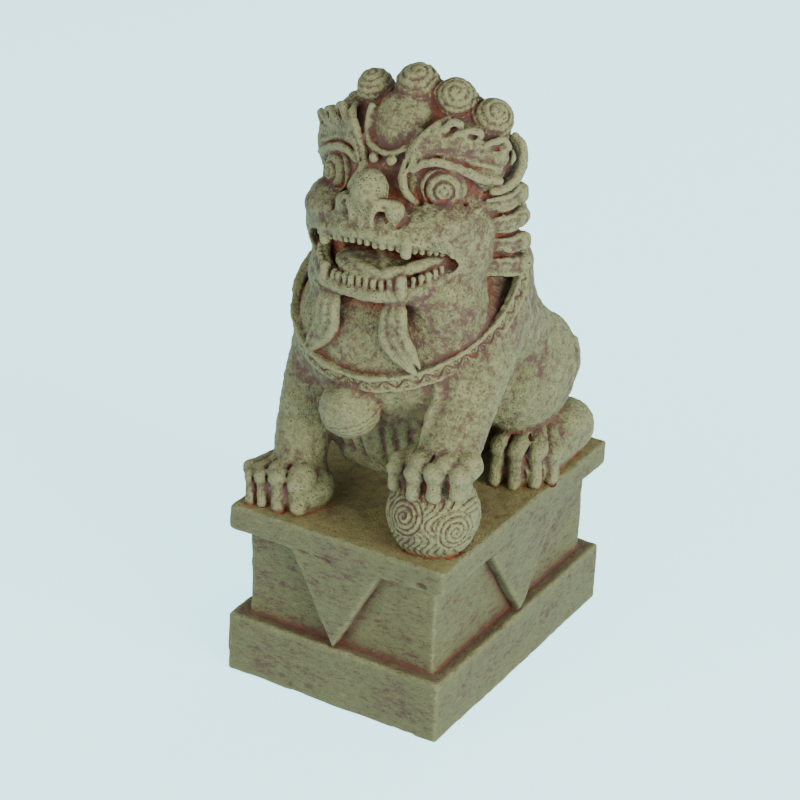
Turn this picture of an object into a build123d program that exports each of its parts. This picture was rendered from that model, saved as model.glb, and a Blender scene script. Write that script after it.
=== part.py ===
"""A seated guardian lion (foo dog) on a stepped plinth, cast in stone.

Frame: millimetres, +Z up, origin at the centre of the plinth's underside. The lion faces -Y, so its
left side is +X. The ornament is one rigid casting. Each carved form is a solid of its own, and where
two forms meet the later one is cut back to the face of the earlier one.
"""

import math
import os

from build123d import *

# ---------------------------------------------------------------- driving dimensions
PLINTH_WIDTH = 100.0
PLINTH_DEPTH = 140.0
FOOT_HEIGHT = 27.0
DIE_HEIGHT = 39.5
CAP_HEIGHT = 11.0
LEDGE = 6.6  # how far the foot and the cap stand out past the die
EDGE_RADIUS = 1.0
PENDANT_SHARE = 0.42  # width of a pendant's top edge as a share of its side

DECK = FOOT_HEIGHT + DIE_HEIGHT + CAP_HEIGHT  # the surface that the lion sits on
HEAD_X = 2.0  # the head sits a little to the lion's left
SIDES = {"left": 1, "right": -1}

BALL_RADIUS = 18.4
BALL_CENTRE = (33.5, -51.0, DECK + 14.0)
BELL_RADIUS = 9.5
BELL_CENTRE = (-2.0, -57.5, 127.0)
BELL_LOOP = [(-2, -57.5, 134), (-1, -59, 140)]  # the eye that the bell hangs by
BELL_LOOP_RADIUS = 2.6

SKULL_CENTRE = (HEAD_X, -16.0, 211.0)
SKULL_RADII = (40.0, 34.0, 36.0)
MOUTH_TOP = 200.0  # the flat of the upper gum
MOUTH_FLOOR = 188.0  # the flat of the lower gum
MOUTH_CENTRE = (HEAD_X, -42.0)
GUM_RADII = (24.0, 22.0)  # the half ellipse that the teeth stand on

BIB_CENTRE = (0.0, -23.0, 156.0)
BIB_RADII = (43.5, 38.0, 35.0)
COLLAR_RADIUS = 4.5
COLLAR_MIDDLE = (0.0, -20.0, 168.5)
COLLAR_SIDE = 44.5  # half width of the ring that the collar follows
COLLAR_FRONT = 41.0  # how far the ring reaches in front of its middle
COLLAR_SLANT = 0.6  # rise of the ring towards the back, per millimetre of depth
COLLAR_REACH = 110  # degrees from the front to each end
COLLAR_STEPS = 14


# ---------------------------------------------------------------- shared forms
def egg(centre, radii, tilt=0.0):
    """A closed egg with three half-axes, leaned forward by tilt degrees."""
    with BuildPart() as form:
        Sphere(1)
        scale(by=radii)
    return form.part.moved(Location(centre, (tilt, 0, 0)))


def limb(points, radii):
    """A round limb along a path: a ball at each point and a cone from each ball to the next."""
    with BuildPart() as form:
        for point, radius in zip(points, radii):
            with Locations(point):
                Sphere(radius)
        for i in range(len(points) - 1):
            start = Vector(points[i])
            run = Vector(points[i + 1]) - start
            bottom = Plane(origin=start, z_dir=run)
            with BuildSketch(bottom):
                Circle(radii[i])
            with BuildSketch(bottom.offset(run.length)):
                Circle(radii[i + 1])
            loft()
    return form.part


def mirrored(point, side, about=0.0):
    """The point on the given side, mirrored in the plane x = about."""
    x, y, z = point
    return (about + side * (x - about), y, z)


def cut_forms(raw, *tools):
    """raw less the tools, keeping the largest solid that is left."""
    with BuildPart() as form:
        add(raw)
        for tool in tools:
            add(tool, mode=Mode.SUBTRACT)
    return form.part.solids().sort_by(SortBy.VOLUME)[-1]


def write(node, name):
    """Label a finished piece and write its STEP file."""
    node.label = name
    export_step(node, f"parts/{name}.step")


os.makedirs("parts", exist_ok=True)

# ---------------------------------------------------------------- plinth
with BuildPart() as plinth_foot:
    Box(PLINTH_WIDTH, PLINTH_DEPTH, FOOT_HEIGHT, align=(Align.CENTER, Align.CENTER, Align.MIN))
    fillet(plinth_foot.edges().filter_by(Axis.Z), EDGE_RADIUS)
    fillet(plinth_foot.faces().sort_by(Axis.Z)[-1].edges(), EDGE_RADIUS / 2)
write(plinth_foot.part, "plinth_foot")

with BuildPart() as plinth_die:
    with BuildSketch(Plane.XY.offset(FOOT_HEIGHT)):
        Rectangle(PLINTH_WIDTH - 2 * LEDGE, PLINTH_DEPTH - 2 * LEDGE)
    extrude(amount=DIE_HEIGHT)
write(plinth_die.part, "plinth_die")

with BuildPart() as plinth_cap:
    with BuildSketch(Plane.XY.offset(FOOT_HEIGHT + DIE_HEIGHT)):
        Rectangle(PLINTH_WIDTH, PLINTH_DEPTH)
    extrude(amount=CAP_HEIGHT)
    fillet(plinth_cap.edges().filter_by(Axis.Z), EDGE_RADIUS)
    fillet(plinth_cap.faces().sort_by(Axis.Z)[-1].edges(), EDGE_RADIUS)
write(plinth_cap.part, "plinth_cap")

PENDANT_FACES = {
    "front": (Vector(0, -1, 0), PLINTH_DEPTH, PLINTH_WIDTH),
    "back": (Vector(0, 1, 0), PLINTH_DEPTH, PLINTH_WIDTH),
    "left": (Vector(1, 0, 0), PLINTH_WIDTH, PLINTH_DEPTH),
    "right": (Vector(-1, 0, 0), PLINTH_WIDTH, PLINTH_DEPTH),
}
APEX_LAND = 1.2  # half width of the blunt point that stands on the foot
for face, (outward, across, length) in PENDANT_FACES.items():
    die_face = Plane(
        origin=outward * (across / 2 - LEDGE) + Vector(0, 0, FOOT_HEIGHT),
        x_dir=Vector(0, 0, 1).cross(outward),
        z_dir=outward,
    )
    half_top = length * PENDANT_SHARE / 2
    with BuildPart() as pendant:
        with BuildSketch(die_face):
            Polygon(
                (-half_top, DIE_HEIGHT),
                (-APEX_LAND, 0),
                (APEX_LAND, 0),
                (half_top, DIE_HEIGHT),
                align=None,
            )
        extrude(amount=LEDGE - EDGE_RADIUS / 2)
    write(pendant.part, f"pendant_{face}")

# ---------------------------------------------------------------- ball and paws
with BuildPart() as cutting_deck:
    Box(300, 300, 100, align=(Align.CENTER, Align.CENTER, Align.MAX))
deck_block = cutting_deck.part.moved(Location((0, 0, DECK)))

with BuildPart() as ball:
    with Locations(BALL_CENTRE):
        Sphere(BALL_RADIUS)
    split(bisect_by=Plane.XY.offset(DECK), keep=Keep.TOP)
write(ball.part, "ball")


def toes(first, step, lean, radius, length):
    """Four toes side by side, each a short limb that drops forward from its knuckle."""
    rows = []
    for i in range(4):
        knuckle = Vector(first) + Vector(step) * i
        tip = knuckle + Vector(lean).normalized() * length
        rows.append(limb([tuple(knuckle), tuple(tip)], [radius, radius * 0.9]))
    return rows


PAWS = {
    # name: (pad centre, pad radii, first knuckle, step, lean, toe radius, toe length)
    "right_forepaw": (
        (-30, -50, DECK + 8), (17, 15, 10), (-43.5, -56.5, DECK + 9), (7.6, 0, 0), (0, -4, -8), 4.6, 4.5
    ),
    "left_forepaw": (
        (33, -53, DECK + 33), (16, 13, 8), (21.5, -62.5, DECK + 33), (7.4, 0, 0), (0, -2, -8), 4.4, 7.0
    ),
    "left_hind_paw": (
        (37, 16, DECK + 8), (11, 16, 10), (28.5, 5.0, DECK + 9), (5.6, 1.6, 0), (0, -4, -8), 4.2, 4.5
    ),
    "right_hind_paw": (
        (-32, 12, DECK + 8), (11, 16, 10), (-40.5, 3.5, DECK + 9), (5.6, -1.4, 0), (0, -4, -8), 4.2, 4.5
    ),
}
HEELS = {
    "left_hind_paw": ([(37, 22, DECK + 9), (38, 51, DECK + 11)], [9.0, 11.5]),
    "right_hind_paw": ([(-33, 22, DECK + 9), (-37, 51, DECK + 11)], [9.0, 11.5]),
}
paws = {}
for name, (centre, radii, first, step, lean, radius, length) in PAWS.items():
    with BuildPart() as paw:
        add(egg(centre, radii))
        add(toes(first, step, lean, radius, length))
        if name in HEELS:
            add(limb(*HEELS[name]))
        add(deck_block, mode=Mode.SUBTRACT)
    solid = paw.part
    if name == "left_forepaw":
        solid = cut_forms(solid, ball.part)
    paws[name] = solid
    write(solid, name)

# ---------------------------------------------------------------- head
skull = egg(SKULL_CENTRE, SKULL_RADII)
jaw_form = egg((HEAD_X, -42, 182), (30, 24, 9))
snout_form = egg((HEAD_X, -41, 206), (33, 25, 14))
mouth_space = egg((HEAD_X, -50, (MOUTH_TOP + MOUTH_FLOOR) / 2), (31, 22, 9))

eyes = {}
for side, sign in SIDES.items():
    with BuildPart() as eye:
        with Locations(mirrored((HEAD_X + 24, -39, 221), sign, HEAD_X)):
            Sphere(9)
    eyes[side] = eye.part
    write(eye.part, f"{side}_eye")

with BuildPart() as snout:
    add(snout_form)
    split(bisect_by=Plane.XY.offset(MOUTH_TOP), keep=Keep.TOP)
    add(list(eyes.values()), mode=Mode.SUBTRACT)
write(snout.part, "snout")

with BuildPart() as lower_jaw:
    add(jaw_form)
    split(bisect_by=Plane.XY.offset(MOUTH_FLOOR), keep=Keep.BOTTOM)
write(lower_jaw.part, "lower_jaw")

boss_form = egg((HEAD_X, -34, 243), (15, 13, 13))
write(boss_form, "forehead_boss")

nose = cut_forms(egg((HEAD_X, -59, 214), (11, 8, 11)), snout.part, boss_form)
write(nose, "nose")

BROW_PATH = [(HEAD_X + 9, -49, 229), (HEAD_X + 21, -45, 239), (HEAD_X + 37, -28, 236)]
BROW_RADII = [3.5, 5.0, 3.5]
EAR_PATH = [(HEAD_X + 40, -22, 234), (HEAD_X + 42, -8, 226)]
EAR_RADII = [5.0, 4.0]
LOCK_HEIGHTS = (216.0, 206.0, 196.0, 185.5)
LOCK_RADIUS = 4.0
LOCK_END_RADIUS = 4.6
brows, ears, locks = {}, {}, {}
for side, sign in SIDES.items():
    brow_path = [mirrored(p, sign, HEAD_X) for p in BROW_PATH]
    brows[side] = cut_forms(limb(brow_path, BROW_RADII), eyes[side], boss_form, nose)
    write(brows[side], f"{side}_brow")

    ear_path = [mirrored(p, sign, HEAD_X) for p in EAR_PATH]
    ears[side] = cut_forms(limb(ear_path, EAR_RADII), brows[side])
    write(ears[side], f"{side}_ear")

    with BuildPart() as mane_locks:
        for height in LOCK_HEIGHTS:
            root = mirrored((HEAD_X + 38, -27, height + 2), sign, HEAD_X)
            end = mirrored((HEAD_X + 42, -8, height), sign, HEAD_X)
            add(limb([root, end], [LOCK_RADIUS, LOCK_END_RADIUS]))
        add(ears[side], mode=Mode.SUBTRACT)
    locks[side] = mane_locks.part
    write(mane_locks.part, f"{side}_mane_locks")

CROWN_CURLS = {
    # (x, y, z): radius, front row first
    (-27, -24, 241): 5.5,
    (-13, -22, 249): 7.5,
    (3, -20, 251.5): 8.5,
    (21, -18, 248): 8.0,
    (33, -8, 240): 7.5,
    (-29, -8, 241): 7.5,
    (-12, 0, 248): 8.5,
    (8, 2, 248): 8.5,
    (26, 6, 240): 8.0,
    (-33, 8, 229): 7.5,
    (-18, 15, 234): 8.0,
    (2, 18, 236): 8.5,
    (19, 21, 229): 8.0,
    (36, 8, 226): 7.0,
}
with BuildPart() as crown_curls:
    for centre, radius in CROWN_CURLS.items():
        with Locations(centre):
            Sphere(radius)
    add([boss_form, *brows.values(), *ears.values()], mode=Mode.SUBTRACT)
write(crown_curls.part, "crown_curls")

NAPE_ROWS = {
    # height: (distance back, half width, curls in the row)
    213.0: (20.0, 26.0, 4),
    197.0: (20.0, 31.0, 4),
    181.0: (18.0, 31.0, 4),
    165.0: (19.0, 24.0, 3),
}
NAPE_RADIUS = 7.8
NAPE_BOW = 9.0  # how much nearer the face the outer curls of a row sit
with BuildPart() as nape_curls:
    for height, (back, half_width, count) in NAPE_ROWS.items():
        for i in range(count):
            share = 2 * i / (count - 1) - 1
            with Locations((HEAD_X + half_width * share, back - NAPE_BOW * share**2, height)):
                Sphere(NAPE_RADIUS)
write(nape_curls.part, "nape_curls")

with BuildPart() as head:
    add(skull)
    add(mouth_space, mode=Mode.SUBTRACT)
    add([snout.part, lower_jaw.part, nose, boss_form], mode=Mode.SUBTRACT)
    add([*eyes.values(), *brows.values(), *ears.values(), *locks.values()], mode=Mode.SUBTRACT)
    add([crown_curls.part, nape_curls.part], mode=Mode.SUBTRACT)
head_solid = head.part.solids().sort_by(SortBy.VOLUME)[-1]
write(head_solid, "head")

# ---------------------------------------------------------------- mouth
TOOTH_RADIUS = 1.5
TOOTH_HEIGHT = 3.6
CANINE_RADIUS = 2.4
CANINE_HEIGHT = 5.6


def gum_point(turn, height):
    """A place on the gum's half ellipse; turn is in degrees from the middle of the mouth."""
    ray = Vector(0, -1, 0).rotate(Axis.Z, turn)
    x, y = MOUTH_CENTRE
    return (x + GUM_RADII[0] * ray.X, y + GUM_RADII[1] * ray.Y, height)


def teeth(turns, canine_turn, gum_height, direction):
    """Small pegs and two long canines that stand on a gum; direction is 1 up and -1 down."""
    align = (Align.CENTER, Align.CENTER, Align.MIN if direction > 0 else Align.MAX)
    with BuildPart() as row:
        for turn in turns:
            with Locations(gum_point(turn, gum_height)):
                Cylinder(TOOTH_RADIUS, TOOTH_HEIGHT, align=align)
        for turn in (-canine_turn, canine_turn):
            with Locations(gum_point(turn, gum_height)):
                Cylinder(CANINE_RADIUS, CANINE_HEIGHT, align=align)
    return row.part


upper_teeth = teeth((-32, -20, -8, 8, 20, 32), 48, MOUTH_TOP, -1)
write(upper_teeth, "upper_teeth")
lower_teeth = teeth((-76, -66, -32, -20, -8, 8, 20, 32, 66, 76), 56, MOUTH_FLOOR, 1)
write(lower_teeth, "lower_teeth")

with BuildPart() as tongue:
    with BuildSketch(Plane.XY.offset(MOUTH_FLOOR)):
        with Locations((HEAD_X, -45)):
            Ellipse(14, 12)
    extrude(amount=3, taper=30)
tongue_solid = cut_forms(tongue.part, head_solid)
write(tongue_solid, "tongue")

# ---------------------------------------------------------------- chest ornaments
collar_path = []
for i in range(COLLAR_STEPS + 1):
    turn = math.radians(COLLAR_REACH * (2 * i / COLLAR_STEPS - 1))
    ahead = COLLAR_FRONT * math.cos(turn)
    middle_x, middle_y, middle_z = COLLAR_MIDDLE
    collar_path.append(
        (middle_x + COLLAR_SIDE * math.sin(turn), middle_y - ahead, middle_z - COLLAR_SLANT * ahead)
    )
collar_solid = cut_forms(
    limb(collar_path, [COLLAR_RADIUS] * len(collar_path)),
    head_solid,
    nape_curls.part,
    lower_jaw.part,
    *locks.values(),
)
write(collar_solid, "collar")

with BuildPart() as bell:
    with Locations(BELL_CENTRE):
        Sphere(BELL_RADIUS)
    add(limb(BELL_LOOP, [BELL_LOOP_RADIUS] * len(BELL_LOOP)))
    add(collar_solid, mode=Mode.SUBTRACT)
write(bell.part, "bell")

BEARD_PATH = [(17, -59, 176), (16, -59, 163), (23, -53, 149)]
BEARD_RADII = [4.0, 4.5, 2.0]
beards = {}
for side, sign in SIDES.items():
    path = [mirrored(p, sign, 1.0) for p in BEARD_PATH]
    beards[side] = cut_forms(limb(path, BEARD_RADII), lower_jaw.part, collar_solid)
    write(beards[side], f"{side}_beard")

bib_form = egg(BIB_CENTRE, BIB_RADII)
bib_solid = cut_forms(
    bib_form,
    skull,
    mouth_space,
    lower_jaw.part,
    nape_curls.part,
    collar_solid,
    bell.part,
    *locks.values(),
    *beards.values(),
)
write(bib_solid, "bib")

# ---------------------------------------------------------------- legs and body
FORELEGS = {
    "right": ([(-30, -46, 93), (-31, -38, 125), (-27, -20, 150)], [12.0, 13.5, 19.0]),
    "left": ([(34, -50, 116), (34, -37, 133), (27, -14, 152)], [12.5, 14.5, 20.0]),
}
forelegs = {}
for side, (path, radii) in FORELEGS.items():
    forelegs[side] = cut_forms(
        limb(path, radii),
        paws[f"{side}_forepaw"],
        deck_block,
        ball.part,
        collar_solid,
        bib_form,
        nape_curls.part,
        skull,
    )
    write(forelegs[side], f"{side}_foreleg")

haunches = {}
for side, sign in SIDES.items():
    haunches[side] = cut_forms(
        egg((sign * 31, 33, 125), (18, 27, 27)),
        paws[f"{side}_hind_paw"],
        forelegs[side],
    )
    write(haunches[side], f"{side}_haunch")

with BuildPart() as tail:
    add(limb([(0, 60, 88), (0, 61, 112), (0, 53, 138), (0, 47, 154)], [6.0, 8.5, 7.0, 2.5]))
    add(list(haunches.values()), mode=Mode.SUBTRACT)
    add([*paws.values(), deck_block], mode=Mode.SUBTRACT)
tail_solid = tail.part.solids().sort_by(SortBy.VOLUME)[-1]
write(tail_solid, "tail")

rump_solid = cut_forms(
    egg((0, 33, 112), (32, 27, 36)),
    deck_block,
    tail_solid,
    *haunches.values(),
    *paws.values(),
    nape_curls.part,
)
write(rump_solid, "rump")

torso_solid = cut_forms(
    egg((0, 2, 138), (34, 33, 46), tilt=38),
    rump_solid,
    bib_form,
    collar_solid,
    bell.part,
    tail_solid,
    skull,
    nape_curls.part,
    *haunches.values(),
    *forelegs.values(),
    *paws.values(),
    *locks.values(),
)
write(torso_solid, "torso")
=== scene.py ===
"""A cast stone guardian lion on its plinth, sculpted as one block of clay and split into named pieces.

The forms are signed distances in millimetres on a regular grid. Every piece keeps its own field, and
one more field holds them all, smoothly joined, as the casting is. A piece's mesh is the part of the
common surface that is nearest to its own form, closed a little way inside its neighbours.
Positions are offsets from the boxes of the CAD nodes.
"""

import math

import bpy
import numpy as np
from mathutils import Matrix, Vector


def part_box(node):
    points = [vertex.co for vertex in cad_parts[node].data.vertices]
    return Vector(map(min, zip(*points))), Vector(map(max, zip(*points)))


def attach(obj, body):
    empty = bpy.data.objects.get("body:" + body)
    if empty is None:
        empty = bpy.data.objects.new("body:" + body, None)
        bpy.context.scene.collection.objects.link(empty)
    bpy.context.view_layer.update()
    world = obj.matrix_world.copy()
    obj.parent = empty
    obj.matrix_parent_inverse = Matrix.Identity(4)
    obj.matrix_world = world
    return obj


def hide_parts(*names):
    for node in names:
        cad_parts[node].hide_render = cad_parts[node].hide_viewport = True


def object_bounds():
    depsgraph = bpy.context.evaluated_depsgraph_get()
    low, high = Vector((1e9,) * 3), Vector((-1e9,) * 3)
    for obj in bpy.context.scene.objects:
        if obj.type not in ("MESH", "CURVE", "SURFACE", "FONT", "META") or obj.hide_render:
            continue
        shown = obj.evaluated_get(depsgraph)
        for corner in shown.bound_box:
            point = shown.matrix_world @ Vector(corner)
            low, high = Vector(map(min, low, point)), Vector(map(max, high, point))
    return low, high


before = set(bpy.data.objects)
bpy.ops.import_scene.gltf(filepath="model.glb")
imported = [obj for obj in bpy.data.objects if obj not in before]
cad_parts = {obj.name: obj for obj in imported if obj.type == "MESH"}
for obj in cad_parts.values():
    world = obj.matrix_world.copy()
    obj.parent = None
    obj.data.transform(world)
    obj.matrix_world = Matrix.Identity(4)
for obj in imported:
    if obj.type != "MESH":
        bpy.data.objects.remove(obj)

cad_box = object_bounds()

MM = 0.001
FIGURE_STEP = 0.5  # grid step of the lion, mm
PLINTH_STEP = 0.8
FAR = 10.0  # the distance given to places that no form reaches
MARGIN = 2.5  # how far beyond its blend a form's distance is worked out
OVERLAP = 0.9  # how far a piece runs on inside its neighbours
SINK = 0.3  # how steeply it sinks under their surface there
SEED = 11


# ---------------------------------------------------------------- places
def node_box(node):
    low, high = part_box(node)
    return np.array(low) / MM, np.array(high) / MM


def centre_of(node):
    low, high = node_box(node)
    return (low + high) / 2


def away(x, y, z, origin):
    return x - origin[0], y - origin[1], z - origin[2]


def dot(p, direction):
    return p[0] * direction[0] + p[1] * direction[1] + p[2] * direction[2]


def clamp(values):
    return np.clip(values, 0, 1)


GROUND = node_box("plinth_foot")[0][2]
DECK = node_box("plinth_cap")[1][2]
BODY = np.array([0.0, 0.0, DECK])  # body places are offsets from the middle of the deck
FACE = (centre_of("left_eye") + centre_of("right_eye")) / 2  # head places are offsets from this point


# ---------------------------------------------------------------- distance forms
def smooth_min(a, b, blend):
    if blend <= 0:
        return np.minimum(a, b)
    h = np.maximum(blend - np.abs(a - b), 0) / blend
    return np.minimum(a, b) - h * h * blend / 4


def smooth_max(a, b, blend):
    return -smooth_min(-a, -b, blend)


def tipped(angle):
    """A rotation matrix about X, from an angle in degrees."""
    return np.array(Matrix.Rotation(math.radians(angle), 3, "X"))


def egg(centre, radii, turn=None):
    """An ellipsoid; turn is a rotation matrix."""
    centre = np.array(centre, float)
    radii = np.broadcast_to(np.array(radii, float), (3,))
    turn = np.eye(3) if turn is None else turn
    reach = np.sqrt(((turn * radii) ** 2).sum(1))

    def distance(x, y, z):
        p = away(x, y, z, centre)
        q = [dot(p, turn[:, i]) for i in range(3)]
        near = np.sqrt(sum((q[i] / radii[i]) ** 2 for i in range(3)))
        slope = np.sqrt(sum((q[i] / radii[i] ** 2) ** 2 for i in range(3)))
        return near * (near - 1) / np.maximum(slope, 1e-6)

    return centre - reach, centre + reach, distance


def rod(start, end, start_radius, end_radius):
    start, end = np.array(start, float), np.array(end, float)
    run = end - start
    length2 = max(float(run @ run), 1e-9)
    radius = max(start_radius, end_radius)

    def distance(x, y, z):
        p = away(x, y, z, start)
        t = clamp(dot(p, run) / length2)
        gap = [p[i] - t * run[i] for i in range(3)]
        return np.sqrt(dot(gap, gap)) - (start_radius + (end_radius - start_radius) * t)

    return np.minimum(start, end) - radius, np.maximum(start, end) + radius, distance


def block(centre, half, radius):
    """A box with rounded edges; half is its half size with the rounding included."""
    centre, half = np.array(centre, float), np.array(half, float)

    def distance(x, y, z):
        q = [np.abs(p) - h + radius for p, h in zip(away(x, y, z, centre), half)]
        outside = np.sqrt(sum(np.maximum(v, 0) ** 2 for v in q))
        return outside + np.minimum(np.maximum(np.maximum(q[0], q[1]), q[2]), 0) - radius

    return centre - half, centre + half, distance


def curve(points, count=5):
    """Catmull-Rom points through the given ones; every column is interpolated."""
    p = np.array(points, float)
    p = np.vstack([2 * p[0] - p[1], p, 2 * p[-1] - p[-2]])
    out = []
    for i in range(1, len(p) - 2):
        for t in np.arange(count) / count:
            a, b, c, d = p[i - 1 : i + 3]
            bend, twist = 2 * a - 5 * b + 4 * c - d, 3 * b - a - 3 * c + d
            out.append(0.5 * (2 * b + (c - a) * t + bend * t**2 + twist * t**3))
    out.append(p[-2])
    return np.array(out)


def strand(points, radii, count=5):
    """A smooth round strand through the points, as a list of rods."""
    radii = np.broadcast_to(np.array(radii, float), (len(points),))
    line = curve(np.column_stack([np.array(points, float), radii]), count)
    return [rod(a[:3], b[:3], a[3], b[3]) for a, b in zip(line[:-1], line[1:])]


# ---------------------------------------------------------------- clay
class Clay:
    """Signed distances on a grid: one common field, and one field for each named piece."""

    def __init__(self, low, high, step):
        self.low, self.step = np.array(low, float), step
        self.shape = tuple(np.ceil((np.array(high) - self.low) / step).astype(int) + 1)
        self.field = np.full(self.shape, FAR, np.float32)
        self.pieces = {}

    def window(self, low, high):
        a = np.floor((np.array(low) - self.low) / self.step).astype(int)
        b = np.ceil((np.array(high) - self.low) / self.step).astype(int) + 1
        return np.clip(a, 0, self.shape), np.clip(b, 0, self.shape)

    def axes(self, a, b):
        """The window's x, y and z, each along its own axis of the grid."""
        for i, shape in enumerate(((-1, 1, 1), (1, -1, 1), (1, 1, -1))):
            line = self.low[i] + self.step * np.arange(a[i], b[i], dtype=np.float32)
            yield line.astype(np.float32).reshape(shape)

    def shaped(self, forms, reach):
        """The distance to a list of forms over their common window."""
        forms = forms if isinstance(forms, list) else [forms]
        low, high = np.min([f[0] for f in forms], 0), np.max([f[1] for f in forms], 0)
        a, b = self.window(low - reach, high + reach)
        out = np.full(tuple(b - a), FAR, np.float32)
        for low, high, distance in forms:
            c, d = self.window(low - reach, high + reach)
            part = cut(c - a, d - a)
            out[part] = np.minimum(out[part], distance(*self.axes(c, d)))
        return a, b, out

    def piece(self, name, a, b):
        """The piece's own field, grown to cover the window."""
        if name not in self.pieces:
            self.pieces[name] = (a, np.full(tuple(b - a), FAR, np.float32))
        start, own = self.pieces[name]
        end = start + own.shape
        if (a < start).any() or (b > end).any():
            new_start, new_end = np.minimum(a, start), np.maximum(b, end)
            grown = np.full(tuple(new_end - new_start), FAR, np.float32)
            grown[cut(start - new_start, end - new_start)] = own
            self.pieces[name] = (new_start, grown)
            start, own = self.pieces[name]
        return own[cut(a - start, b - start)]

    def add(self, name, forms, blend):
        a, b, distance = self.shaped(forms, blend + MARGIN)
        common = self.field[cut(a, b)]
        common[...] = smooth_min(common, distance, blend)
        own = self.piece(name, a, b)
        own[...] = smooth_min(own, distance, blend)

    def carve(self, forms, blend, names=None):
        """Cut the forms out of the surface; names are the pieces that own the cut, all of them if none."""
        a, b, distance = self.shaped(forms, blend + MARGIN)
        common = self.field[cut(a, b)]
        common[...] = smooth_max(common, -distance, blend)
        for name in list(self.pieces):
            start, own = self.pieces[name]
            c, d = np.maximum(a, start), np.minimum(b, start + own.shape)
            if (d <= c).any() or (names and name not in names):
                continue
            part = own[cut(c - start, d - start)]
            part[...] = smooth_max(part, -distance[cut(c - a, d - a)], blend)

    def relief(self, name, low, high, height):
        """Raise the surface of one piece by height(x, y, z) inside a box."""
        a, b = self.window(low, high)
        own = self.piece(name, a, b)
        common = self.field[cut(a, b)]
        raised = height(*self.axes(a, b)) * clamp(1.5 - (own - common) / 0.6)
        common -= raised
        own -= raised

    def roughen(self, layers, seed):
        """Layers of random lumps all over the surface: their height and their size."""
        for i, (height, grain) in enumerate(layers):
            self.field += height * rough(self.shape, self.step, grain, seed + i)

    def owners(self):
        """The nearest and the second nearest piece's distance, everywhere."""
        self.first = np.full(self.shape, FAR, np.float32)
        self.second = np.full(self.shape, FAR, np.float32)
        for start, own in self.pieces.values():
            part = cut(start, start + own.shape)
            first, second = self.first[part], self.second[part]
            second[...] = np.minimum(second, np.maximum(first, own))
            first[...] = np.minimum(first, own)

    def solid(self, name):
        """The piece's closed field: the common surface where it is nearest, ended inside its neighbours."""
        start, own = self.pieces[name]
        part = cut(start, start + own.shape)
        other = np.where(own <= self.first[part], self.second[part], self.first[part])
        edge = (own - other) / 2
        whole = np.full(tuple(np.array(own.shape) + 2), FAR, np.float32)
        sunk = self.field[part] + SINK * np.maximum(edge, 0)
        whole[1:-1, 1:-1, 1:-1] = np.maximum(sunk, edge - OVERLAP)
        return start - 1, whole

    def sampled(self, values, points):
        """Values of a grid at places in mm, by linear interpolation."""
        p = np.clip((points - self.low) / self.step, 0, np.array(values.shape) - 1.001)
        i = p.astype(np.int64)
        f = (p - i).astype(np.float32)
        out = np.zeros(len(points), np.float32)
        for corner in np.ndindex(2, 2, 2):
            share = np.prod(np.where(corner, f, 1 - f), axis=1)
            out += share * values[tuple((i + corner).T)]
        return out


def cut(a, b):
    return tuple(slice(int(p), int(q)) for p, q in zip(a, b))


def blurred(values, radius):
    """Two box blurs along each axis; radius is in grid cells."""
    r = max(int(round(radius)), 1)
    for axis in range(3):
        for _ in range(2):
            pad = [(r + 1, r) if i == axis else (0, 0) for i in range(3)]
            total = np.cumsum(np.pad(values, pad, mode="edge"), axis=axis, dtype=np.float32)
            length = values.shape[axis]
            ahead = np.take(total, np.arange(2 * r + 1, 2 * r + 1 + length), axis=axis)
            values = (ahead - np.take(total, np.arange(length), axis=axis)) / (2 * r + 1)
    return values


def rough(shape, step, grain, seed):
    """Smooth random heights from -1 to 1 over a grid, with lumps about grain mm across."""
    rng = np.random.default_rng(seed)
    sizes = [int(n * step / grain) + 3 for n in shape]
    values = rng.uniform(-1, 1, sizes).astype(np.float32)
    for axis, n in enumerate(shape):
        at = np.arange(n) * step / grain
        i = at.astype(int)
        f = at - i
        f = (f * f * (3 - 2 * f)).astype(np.float32)
        f = f.reshape([-1 if k == axis else 1 for k in range(3)])
        values = np.take(values, i, axis) * (1 - f) + np.take(values, i + 1, axis) * f
    return values


def surface_net(field, low, step):
    """Points and quads of the zero surface of a grid of signed distances."""
    inside = field < 0
    count = np.zeros(tuple(np.array(field.shape) - 1), np.uint8)
    for corner in np.ndindex(2, 2, 2):
        count += inside[cut(corner, corner + np.array(count.shape))]
    cells = np.argwhere((count > 0) & (count < 8))
    index = np.full(count.shape, -1, np.int64)
    index[tuple(cells.T)] = np.arange(len(cells))
    total = np.zeros((len(cells), 3))
    crossings = np.zeros(len(cells))
    for start in np.ndindex(2, 2, 2):
        for axis in range(3):
            if start[axis]:
                continue
            end = tuple(1 if i == axis else start[i] for i in range(3))
            fa = field[tuple((cells + start).T)].astype(float)
            fb = field[tuple((cells + end).T)].astype(float)
            crossed = (fa < 0) != (fb < 0)
            t = np.where(crossed, fa / np.where(crossed, fa - fb, 1), 0)
            place = np.array(start, float) + t[:, None] * (np.array(end) - np.array(start))
            total += place * crossed[:, None]
            crossings += crossed
    points = np.array(low) + step * (cells + total / crossings[:, None])
    quads = []
    for axis in range(3):
        u, v = (axis + 1) % 3, (axis + 2) % 3
        here = [slice(1, -1)] * 3
        here[axis] = slice(0, -1)
        there = list(here)
        there[axis] = slice(1, None)
        a, b = inside[tuple(here)], inside[tuple(there)]
        edges = np.argwhere(a != b)
        outward = a[tuple(edges.T)]
        edges[:, u] += 1
        edges[:, v] += 1
        ring = []
        for du, dv in ((-1, -1), (0, -1), (0, 0), (-1, 0)):
            cell = edges.copy()
            cell[:, u] += du
            cell[:, v] += dv
            ring.append(index[tuple(cell.T)])
        ring = np.array(ring).T
        quads.append(np.where(outward[:, None], ring, ring[:, ::-1]))
    return points, np.vstack(quads)


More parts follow.
